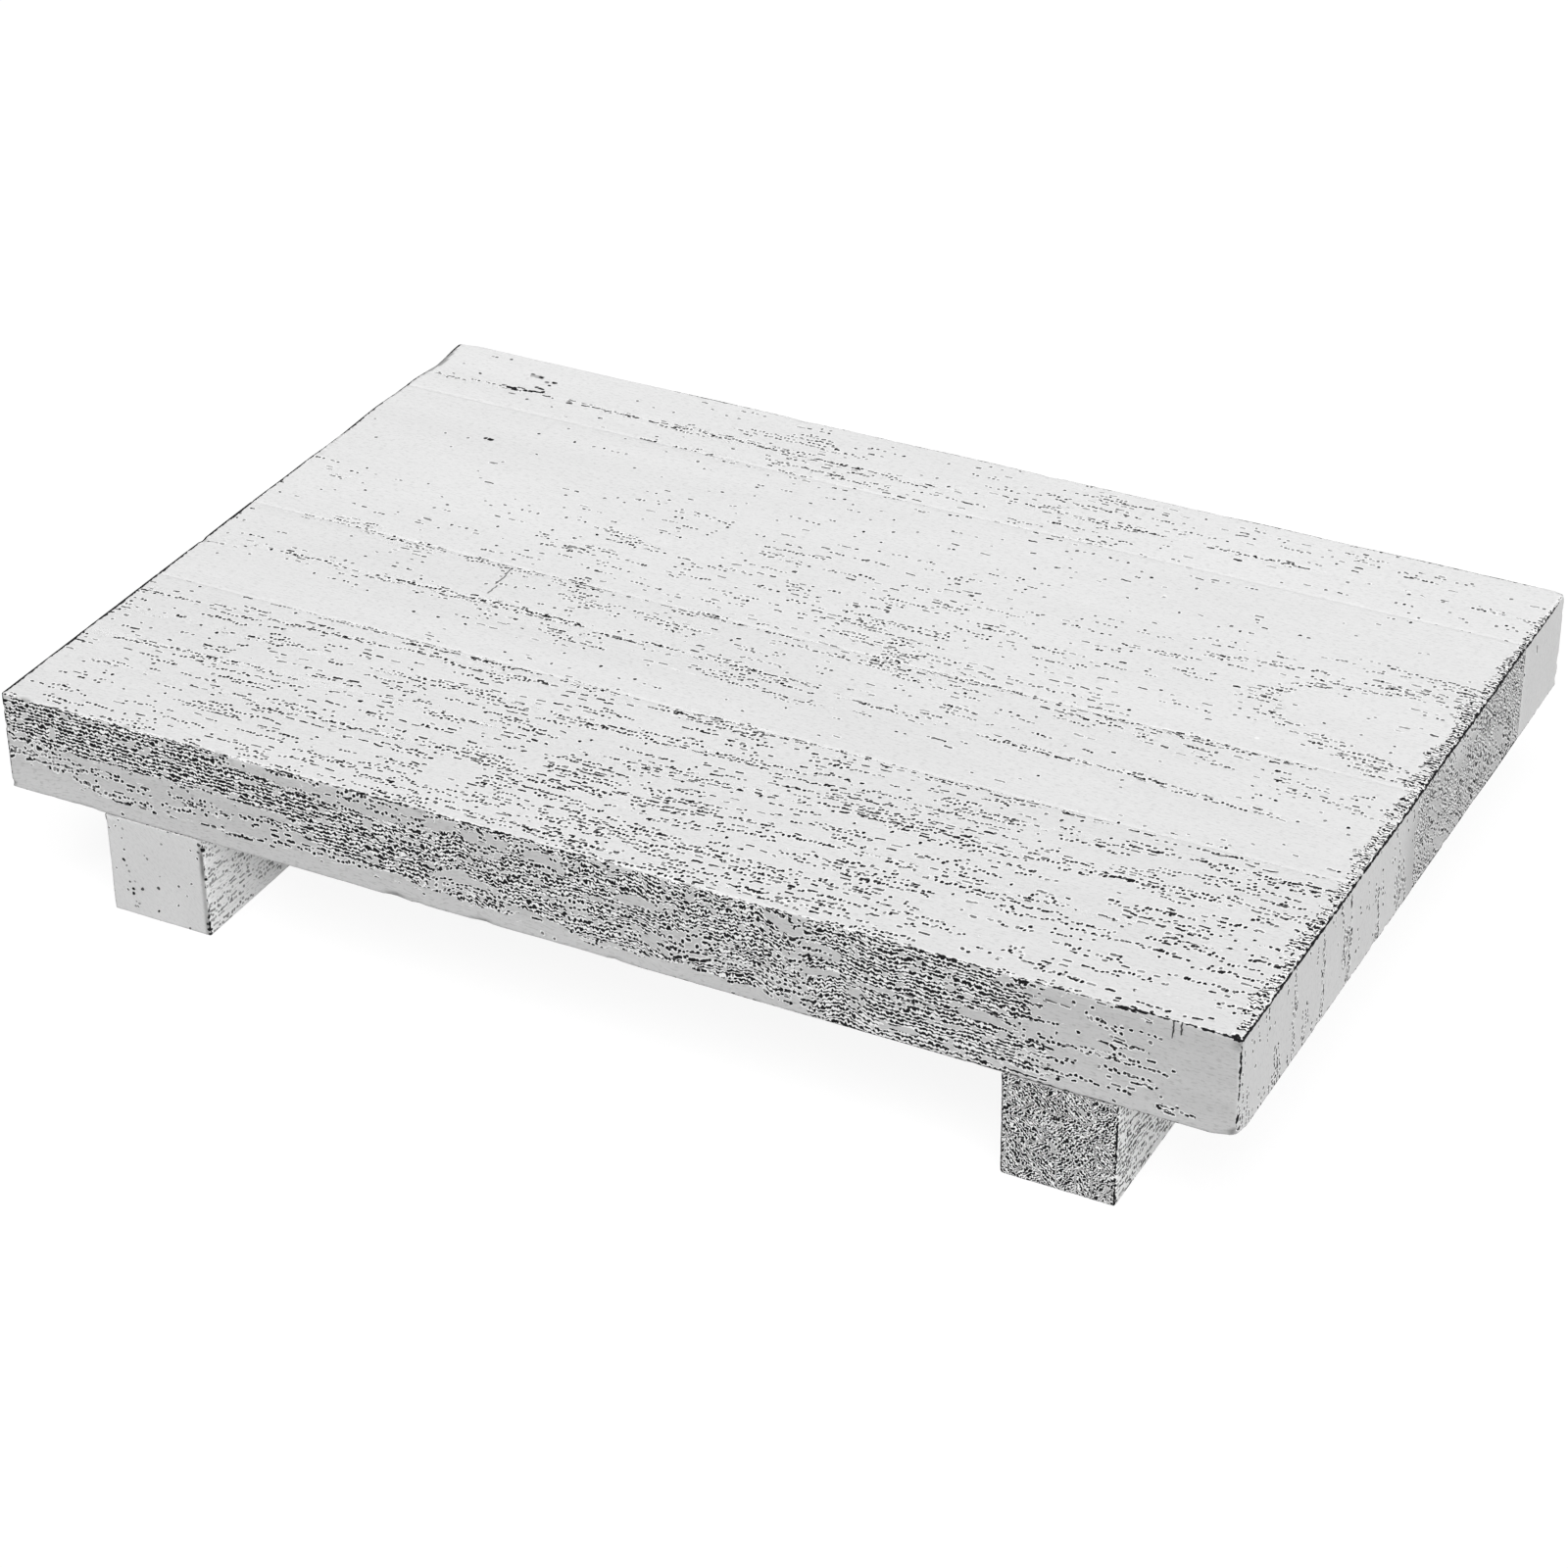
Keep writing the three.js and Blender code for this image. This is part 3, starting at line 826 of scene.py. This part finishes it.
def make_stave(n, wall):
    low, high = stave_boxes[n]
    first, last = n == 0, n == len(STAVES) - 1
    closed = ([] if first else [(Y, 0)]) + ([] if last else [(Y, 1)])
    steps = [
        (1.5, 0.45, 5.5, 5.5),
        (0.40, 0.28, 3.0 if first else 0.6, 3.0 if last else 0.6),
        (0.42, 0.28, 2.0, 2.0),
    ]
    block = Block(low, high, steps, BOARD_LOOKS, closed)
    p, look, corners = block.p, block.look, worn_corners(block.p)
    moved, way = rounded(p, BOARD_LOW, BOARD_HIGH, arris_radius(p) + corners)
    bite = chips(p, BOARD_LOW, BOARD_HIGH, BOARD_CHIPS, BOARD_CHIP_SEED)
    wave = 0.05 * noise(p[:, X], p[:, Y] + p[:, Z], 40, 12, 3)
    moved = moved - way * (look["cut"] + bite + wave)[:, None]
    for axis, side in closed:
        moved[block.place[:, axis] == side * block.ends[axis], axis] += (1 - 2 * side) * JOINT_INSET
    look["tone"] -= 0.3 * np.clip(bite * 5, 0, 1)
    look["tone"] -= 0.42 * np.clip(corners, 0, 1) * (way[:, X] < -0.05)
    look["edge"] = board_widths(p)
    weights = {(Z, 1): 1.0, (Z, 0): 0.45}
    if first:
        weights[Y, 0] = 1.4
    if last:
        weights[Y, 1] = 0.8
    weights.update({face: 0.12 for face in closed})
    flaws = [
        ((x, y, high[Z]), (half_x, half_y, MARK_DEPTH), radius, dark)
        for x, y, half_x, half_y, radius, dark in FLAWS[n]
    ]
    for x, z, half in DRIPS if first else []:
        flaws.append(((x, low[Y], z), (0, MARK_DEPTH, half), DRIP_RADIUS, DRIP_DARKNESS))
    specks = [((x, y, high[Z]), (0.1, 0, MARK_DEPTH), SPECK_RADIUS, 1) for x, y in SPECKS[n]]
    offset = PAINT_STEP * n + BOARD_PAINT
    box = (BOARD_LOW, BOARD_HIGH, ARRIS_DROP)
    paint = wood_material(STAVES[n] + "_wood", offset, box, flaws, specks)
    piece = block.make(STAVES[n], moved, X, weights, paint)
    places = [place for place in SCREW_PLACES if low[Y] < place[Y] < high[Y]]
    if places:
        start, end = low[Z] - PAST, screw_boxes[0][1][Z] + TIP_ROOM
        profile = [(0, start), (SHANK_RADIUS, start), (SHANK_RADIUS, end), (0, end + DRILL_POINT)]
        drill(piece, places, profile, wall)
    finish_piece(piece, STAVES[n])


def make_foot(n, wall):
    low, high = foot_boxes[n]
    rough = n == 1
    across = (0.32, 0.26, 1.8, 1.8)
    steps = [across, (1.5, 0.4, 3.0, 3.0), across]
    block = Block(low, high, steps, foot_looks(low, high, rough), [])
    p, look = block.p, block.look
    radius = arris_radius(p + 40 * (n + 1)) * (1 - 0.9 * ramp(p[:, Z], high[Z] - 2, high[Z] - 0.5))
    moved, way = rounded(p, low, high, radius)
    bite = chips(p, low, high, FOOT_CHIPS, FOOT_CHIP_SEED + n)
    moved = moved - way * (look["cut"] + bite)[:, None]
    look["edge"] = foot_widths(p, low, high, rough)
    dots = []
    if not rough:
        for u, t, radius, dark in FOOT_DOTS:
            middle = (low[X] + u * (high - low)[X], low[Y], high[Z] - t * (high - low)[Z])
            dots.append((middle, (0, MARK_DEPTH, 0), DOT_SCALE * radius, dark))
    paint = wood_material(FEET[n] + "_wood", PAINT_STEP * n + FOOT_PAINT, (low, high, 0), dots, [])
    weights = {(X, 0): 1.0, (X, 1): 1.0, (Z, 0): 0.6, (Z, 1): 0.15}
    piece = block.make(FEET[n], moved, Y, weights, paint)
    places = [place for place in SCREW_PLACES if low[X] < place[X] < high[X]]
    end = high[Z] + PAST
    profile = [
        (0, -PAST), (MOUTH_RADIUS, -PAST), (MOUTH_RADIUS, SEAT),
        (SHANK_RADIUS, SEAT + MOUTH_RADIUS - SHANK_RADIUS), (SHANK_RADIUS, end), (0, end),
    ]
    drill(piece, places, profile, wall)
    finish_piece(piece, FEET[n])


# Materials
class Wire:
    """What a node puts out, with plain arithmetic that makes Math nodes."""

    def __init__(self, graph, socket):
        self.graph = graph
        self.socket = socket

    def __add__(self, other):
        return self.graph.math("ADD", self, other)

    def __sub__(self, other):
        return self.graph.math("SUBTRACT", self, other)

    def __rsub__(self, other):
        return self.graph.math("SUBTRACT", other, self)

    def __mul__(self, other):
        return self.graph.math("MULTIPLY", self, other)

    def __truediv__(self, other):
        return self.graph.math("DIVIDE", self, other)

    def __abs__(self):
        return self.graph.math("ABSOLUTE", self)


class Graph:
    """A material's or a world's nodes, made and joined by short calls."""

    def __init__(self, owner):
        owner.use_nodes = True
        self.tree = owner.node_tree
        self.tree.nodes.clear()

    def feed(self, made, key, value):
        socket = made.inputs[key]
        if isinstance(value, Wire):
            self.tree.links.new(value.socket, socket)
        else:
            socket.default_value = value

    def node(self, kind, *values, **named):
        made = self.tree.nodes.new(kind)
        for key, value in enumerate(values):
            self.feed(made, key, value)
        for key, value in named.items():
            self.feed(made, key.replace("_", " "), value)
        return made

    def out(self, made, key=0):
        return Wire(self, made.outputs[key])

    def math(self, operation, *values, clamp=False):
        made = self.node("ShaderNodeMath", *values)
        made.operation = operation
        made.use_clamp = clamp
        return self.out(made)

    def highest(self, a, b, clamp=False):
        return self.math("MAXIMUM", a, b, clamp=clamp)

    def lowest(self, a, b):
        return self.math("MINIMUM", a, b)

    def vector(self, operation, *values):
        made = self.node("ShaderNodeVectorMath", *values)
        made.operation = operation
        return self.out(made, "Value" if operation == "LENGTH" else "Vector")

    def flat(self, u, v, w=0.0):
        return self.out(self.node("ShaderNodeCombineXYZ", X=u, Y=v, Z=w))

    def split(self, vector):
        made = self.node("ShaderNodeSeparateXYZ", Vector=vector)
        return [self.out(made, n) for n in range(3)]

    def colour(self, red, green, blue):
        return self.out(self.node("ShaderNodeCombineColor", Red=red, Green=green, Blue=blue))

    def attribute(self, name, output="Fac"):
        made = self.node("ShaderNodeAttribute")
        made.attribute_name = name
        return self.out(made, output)

    def object_mm(self):
        source = self.out(self.node("ShaderNodeTexCoord"), "Object")
        return self.vector("MULTIPLY", source, (1 / MM, 1 / MM, 1 / MM))

    def noise(self, place, scale, detail, dimensions="3D"):
        stretched = self.vector("MULTIPLY", place, scale)
        made = self.node("ShaderNodeTexNoise", Vector=stretched, Scale=1.0, Detail=detail)
        made.noise_dimensions = dimensions
        return self.out(made, "Fac")

    def grain_noise(self, place, along_grain, across, detail):
        return self.noise(place, (along_grain, across, 1.0), detail, "2D")

    def between(self, value, start, end):
        """0 at start and 1 at end, smooth between. start may be the larger."""
        made = self.node("ShaderNodeMapRange", Value=value, From_Min=start, From_Max=end)
        made.interpolation_type = "SMOOTHSTEP"
        return self.out(made, "Result")

    def surface(self, colour, roughness, height, strength, depth, **constants):
        """A shader with bumps, depth millimetres deep. The constants are set on its own sockets."""
        bump = self.node("ShaderNodeBump", Height=height, Strength=strength, Distance=depth * MM)
        shader = self.node(
            "ShaderNodeBsdfPrincipled",
            Base_Color=colour,
            Roughness=roughness,
            Normal=self.out(bump),
            **constants,
        )
        self.node("ShaderNodeOutputMaterial", Surface=self.out(shader))


# How deep the right end's faces count for the lowered arris
END_DEPTH = 1.5
MARK_SOFTNESS = 0.10


def arris_distance(g, place, low, high, drop):
    """How far a point is from the nearest arris. At the right end the upper one lies drop lower."""
    off = g.vector("ABSOLUTE", g.vector("SUBTRACT", place, tuple((low + high) / 2)))
    a, b, c = g.split(g.vector("SUBTRACT", tuple((high - low) / 2), off))
    if drop:
        at_end = g.math("GREATER_THAN", g.split(place)[X], high[X] - END_DEPTH)
        c = abs(c - at_end * drop)
    return g.highest(g.lowest(a, b), g.lowest(g.highest(a, b), c))


def mark_mask(g, place, marks):
    """Small marks, each a box of half sizes round its middle, grown by a radius."""
    total = 0.0
    for middle, half, radius, strength in marks:
        off = g.vector("ABSOLUTE", g.vector("SUBTRACT", place, middle))
        past = g.vector("MAXIMUM", g.vector("SUBTRACT", off, half), (0.0, 0.0, 0.0))
        reach = g.vector("LENGTH", past)
        total = g.highest(total, g.between(reach, radius + MARK_SOFTNESS, radius) * strength)
    return total


STROKE_SOFTNESS = 0.04
RIM_SOFTNESS = 0.12
WEAVE_ROW = 0.76
THICKEST = 0.235
WEAVE_RIM = 0.34
# From this share of pores on the weave sets in, and from the second it is full
WEAVE_START, WEAVE_FULL = 0.50, 0.75
WEAVE_BOLDNESS = 1.5


def weave_layer(g, run, lane, pores, dash, boldness):
    """Pores so dense that they run together: wavy dark rows, beaded and broken."""
    bend = g.grain_noise(g.flat(run, lane), 1.30, 0.75, 1) - 0.5
    phase = (bend * (dash * -0.7 + 1.5) + lane) / WEAVE_ROW
    row = g.math("ROUND", phase)
    off = abs(phase - row) * WEAVE_ROW
    place = g.flat(run, row)
    short = g.grain_noise(place, 1.00, 7.31, 0)
    long = g.grain_noise(place, 0.33, 5.17, 0)
    bead = g.grain_noise(place, 1.80, 3.73, 0)
    field = (long - short) * dash + short
    limit = pores * g.between(pores, WEAVE_START, WEAVE_FULL) * -0.80 + 1.02
    width = g.lowest(g.highest((field - limit) * 3.0, 0.0), THICKEST)
    width = width * (g.between(bead, 0.34, 0.56) * 0.65 + 0.42)
    width = width * g.math("POWER", boldness, WEAVE_BOLDNESS)
    present = g.between(width, 0.02, 0.09)
    past = off - width
    mask = g.between(past, STROKE_SOFTNESS, -STROKE_SOFTNESS) * present
    return mask, g.between(past, WEAVE_RIM, WEAVE_RIM - RIM_SOFTNESS) * present


ROW = 1.12
ROW_JITTER = 0.62
CHAIN_LENGTH = 13.0
CHAIN_SHIFT = 1.73
RIM_WIDTH = 0.27
# Pitch along the grain, shortest and longest half length, radius, and the seed of the chains
DOTS = (0.84, 0.0, 0.12, 0.275, 3.1)
DASHES = (3.1, 0.2, 0.9, 0.22, 8.7)


def stroke_layer(g, run, lane, pores, pitch, half_low, half_high, radius, seed):
    """Pores as dots or strokes along the grain, one in each cell at most. They come in chains."""
    place = g.flat(run / pitch, lane / ROW)
    cells = g.node("ShaderNodeTexVoronoi", Vector=place, Scale=1.0, Randomness=ROW_JITTER)
    cells.voronoi_dimensions = "2D"
    chance = g.node("ShaderNodeSeparateColor", Color=g.out(cells, "Color"))
    centre = g.split(g.out(cells, "Position"))
    centre_run = centre[0] * pitch
    half = g.out(chance, 0) * (half_high - half_low) + half_low
    past = g.highest(abs(run - centre_run) - half, 0.0)
    reach = g.vector("LENGTH", g.flat(past, lane - centre[1] * ROW))

    chain_place = g.flat(centre_run / CHAIN_LENGTH, g.math("FLOOR", centre[1]) * CHAIN_SHIFT + seed)
    chain = g.between(g.grain_noise(chain_place, 1, 1, 1), 0.30, 0.70)
    odds = g.math("MULTIPLY", pores * 1.12 - chain, 5.0, clamp=True) * 0.88 + pores * 0.12
    present = g.math("GREATER_THAN", odds, g.out(chance, 1))

    swell = g.noise(g.flat(run, lane, seed), (2.1, 2.6, 1.0), 1)
    thick = (swell * 1.1 + 0.45) * radius
    mask = g.between(reach, thick + STROKE_SOFTNESS, thick - STROKE_SOFTNESS) * present
    rim_end = thick + RIM_WIDTH
    rim = g.between(reach, rim_end, rim_end - RIM_SOFTNESS) * present
    return mask, rim, g.out(chance, 2)


PORE_COLOUR = (0.008, 0.008, 0.009, 1.0)
RIM_LIFT = 0.80
BRIGHTEST = 0.96
PAINT_ROUGHNESS = 0.68
PAINT_SPECULAR = 0.12
MIX_FACTOR, MIX_A, MIX_B, MIX_RESULT = 0, 6, 7, 2


def wood_material(name, offset, box, flaws, specks):
    """Worn whitewash over open-pored wood. box is its two far corners and the arris drop."""
    material = bpy.data.materials.new(name + "_paint")
    g = Graph(material)
    run, lane, dash = g.split(g.attribute("grain", "Vector"))
    run, lane = run + offset, lane + offset
    place = g.flat(run, lane)
    pores = g.attribute("pores")
    ink = g.attribute("ink")

    drift = g.grain_noise(place, 0.16, 0.35, 2) - 0.5
    ripple = g.grain_noise(place, 0.9, 0.9, 1) - 0.5
    wavy = lane + (drift * 1.1 + ripple * 0.35)
    single = pores * g.between(pores, 0.90, 0.65)
    dots, dot_rim, dot_dark = stroke_layer(g, run, wavy, single, *DOTS)
    dashes, dash_rim, dash_dark = stroke_layer(g, run, wavy, single * dash * 0.6, *DASHES)
    weave, weave_rim = weave_layer(g, run, wavy, pores, dash, ink)
    strokes = g.highest(dots * (dot_dark * 0.70 + 0.70), dashes * (dash_dark * 0.70 + 0.65))
    open_pores = g.math("MULTIPLY", g.highest(strokes, weave), ink, clamp=True)
    rim = g.highest(g.highest(dot_rim, dash_rim), weave_rim)

    spot = g.object_mm()
    edge = g.attribute("edge")
    torn = g.out(g.node("ShaderNodeTexNoise", Vector=spot, Scale=0.9, Detail=1.0), "Color")
    torn = g.vector("SUBTRACT", torn, (0.5, 0.5, 0.5))
    torn = g.vector("ADD", spot, g.vector("MULTIPLY", torn, (0.7, 0.7, 0.7)))
    bead = g.noise(spot, (1.2, 1.2, 1.2), 1) * 0.5 - 0.25
    gap = edge + bead - arris_distance(g, torn, *box)
    worn = g.between(gap, -0.04, 0.05) * g.between(edge, 0.02, 0.05)
    dark = g.highest(open_pores, worn)
    if flaws:
        dark = g.highest(dark, mark_mask(g, torn, flaws), clamp=True)
    if specks:
        rim = g.highest(rim, mark_mask(g, spot, specks))

    fine = g.grain_noise(place, 0.22, 2.6, 3) - 0.5
    broad = g.grain_noise(place, 0.03, 0.30, 2) - 0.5
    hairs = g.between(g.grain_noise(place, 0.75, 3.1, 1), 0.58, 0.70)
    fibre = fine * 0.26 + broad * 0.10 - hairs * 0.28
    mottle = g.noise(spot, (1.9, 1.9, 1.9), 1) * 0.10 + 0.95
    shade = (fibre * g.attribute("streak") + 1.0) * mottle
    paint = g.lowest(g.attribute("tone") * shade, BRIGHTEST)
    lift = g.between(pores, 0.5, 0.9) * (1 - RIM_LIFT) + RIM_LIFT
    paint = (BRIGHTEST - paint) * (rim * lift) + paint
    mix = g.node("ShaderNodeMix")
    mix.data_type = "RGBA"
    g.feed(mix, MIX_FACTOR, dark)
    g.feed(mix, MIX_A, g.colour(paint, paint, paint))
    g.feed(mix, MIX_B, PORE_COLOUR)
    g.surface(
        g.out(mix, MIX_RESULT), dark * 0.2 + PAINT_ROUGHNESS, fine * 0.25 - dark, 0.5, 0.10,
        Specular_IOR_Level=PAINT_SPECULAR,
    )
    return material


def bare_wood_material():
    """The drilled wall of a screw hole: raw pale wood with torn fibres."""
    material = bpy.data.materials.new("drilled_wood")
    g = Graph(material)
    place = g.object_mm()
    fibre = g.noise(place, (3.0, 3.0, 0.9), 3)
    level = fibre * 0.35 + (g.noise(place, (0.2, 0.2, 4.0), 2) * 0.15 + 0.12)
    colour = g.colour(level, level * 0.78, level * 0.55)
    g.surface(colour, fibre * 0.2 + 0.75, fibre, 0.6, 0.15)
    return material


def steel_material():
    """Bright zinc plate with a faint cloudiness and fine grit."""
    material = bpy.data.materials.new("zinc_plate")
    g = Graph(material)
    place = g.object_mm()
    level = g.noise(place, (0.8, 0.8, 0.8), 3) * 0.16 + 0.42
    grit = g.noise(place, (9.0, 9.0, 9.0), 2)
    colour = g.colour(level, level, level + 0.012)
    g.surface(colour, grit * 0.25 + 0.24, grit, 0.3, 0.02, Metallic=1.0)
    return material


# The stage: a white floor that keeps the stand's shadow, soft lamps and a pale sky
FLOOR_HALF = 4.0
FLOOR_COLOUR = (0.40, 0.40, 0.40, 1.0)
SEEN_FLOOR_COLOUR = (0.14, 0.14, 0.14, 1.0)
FLOOR_GLOW = 0.90
WHITE = (1.0, 1.0, 1.0, 1.0)
SKY_LEVEL = 0.20
# Name, azimuth, elevation, spread and level. Azimuth 0 is the front and 90 the right, and the level
# is what a white face towards the lamp shows.
LAMPS = [("key", 20, 64, 50, 0.82), ("side", 59, 10, 40, 0.53)]


def seen_or_lit(g, lit, seen):
    """One shader for what the camera sees, straight or mirrored, and one for how it lights."""
    rays = g.node("ShaderNodeLightPath")
    mirrored = g.highest(g.out(rays, "Is Glossy Ray"), g.out(rays, "Is Transmission Ray"))
    looked_at = g.highest(g.out(rays, "Is Camera Ray"), mirrored)
    return g.out(g.node("ShaderNodeMixShader", looked_at, g.out(lit), g.out(seen)))


def make_floor():
    mesh = bpy.data.meshes.new("floor")
    half = FLOOR_HALF
    corners = [(-half, -half, 0), (half, -half, 0), (half, half, 0), (-half, half, 0)]
    mesh.from_pydata(corners, [], [(0, 1, 2, 3)])
    floor = put_in_scene("floor", mesh)
    material = bpy.data.materials.new("floor_white")
    g = Graph(material)
    lit = g.node("ShaderNodeBsdfDiffuse", Color=FLOOR_COLOUR)
    shadowed = g.node("ShaderNodeBsdfDiffuse", Color=SEEN_FLOOR_COLOUR)
    glow = g.node("ShaderNodeEmission", Color=WHITE, Strength=FLOOR_GLOW)
    seen = g.node("ShaderNodeAddShader", g.out(shadowed), g.out(glow))
    g.node("ShaderNodeOutputMaterial", Surface=seen_or_lit(g, lit, seen))
    mesh.materials.append(material)


def make_sky():
    """A white world to look at, which lights the object with less."""
    world = bpy.data.worlds.new("sky")
    bpy.context.scene.world = world
    g = Graph(world)
    lit = g.node("ShaderNodeBackground", Color=WHITE, Strength=SKY_LEVEL)
    seen = g.node("ShaderNodeBackground", Color=WHITE, Strength=1.0)
    g.node("ShaderNodeOutputWorld", Surface=seen_or_lit(g, lit, seen))


def direction(azimuth, elevation):
    """The way from the stand to a lamp or a camera."""
    a, e = math.radians(azimuth), math.radians(elevation)
    return Vector((math.sin(a) * math.cos(e), -math.cos(a) * math.cos(e), math.sin(e)))


def make_sun(name, azimuth, elevation, spread, level):
    """A soft far lamp."""
    light = bpy.data.lights.new(name, "SUN")
    light.angle = math.radians(spread)
    light.energy = level * math.pi
    lamp = put_in_scene(name, light)
    towards = direction(azimuth, elevation)
    lamp.rotation_euler = towards.to_track_quat("Z", "Y").to_euler()
    lamp.location = towards


# The photograph's camera, solved from the stand's own corners
CAMERA_PLACE = (0.3051, -0.5898, 0.4252)
CAMERA_AZIMUTH = 27.57
CAMERA_ELEVATION = 32.03
CAMERA_ROLL = math.radians(-0.579)
FOCAL_PIXELS = 4274.0
PHOTO_PIXELS = 1600
SENSOR = 36.0


def make_camera():
    data = bpy.data.cameras.new("camera")
    data.sensor_width = SENSOR
    data.lens = FOCAL_PIXELS / PHOTO_PIXELS * SENSOR
    data.clip_start = 0.01
    ahead = -direction(CAMERA_AZIMUTH, CAMERA_ELEVATION)
    right = direction(CAMERA_AZIMUTH + 90, 0)
    down = ahead.cross(right)
    cos, sin = math.cos(CAMERA_ROLL), math.sin(CAMERA_ROLL)
    rolled_right = cos * right - sin * down
    rolled_down = sin * right + cos * down
    turn = Matrix((rolled_right, -rolled_down, -ahead)).transposed()
    camera = put_in_scene("camera", data)
    camera.matrix_world = Matrix.Translation(CAMERA_PLACE) @ turn.to_4x4()
    bpy.context.scene.camera = camera


bare_wood = bare_wood_material()
for n in range(len(STAVES)):
    make_stave(n, bare_wood)
for n in range(len(FEET)):
    make_foot(n, bare_wood)
steel = steel_material()
for node in SCREWS:
    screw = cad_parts[node]
    screw.data.materials.clear()
    screw.data.materials.append(steel)

make_floor()
make_sky()
for lamp in LAMPS:
    make_sun(*lamp)
make_camera()
bpy.context.scene.view_settings.view_transform = "Standard"
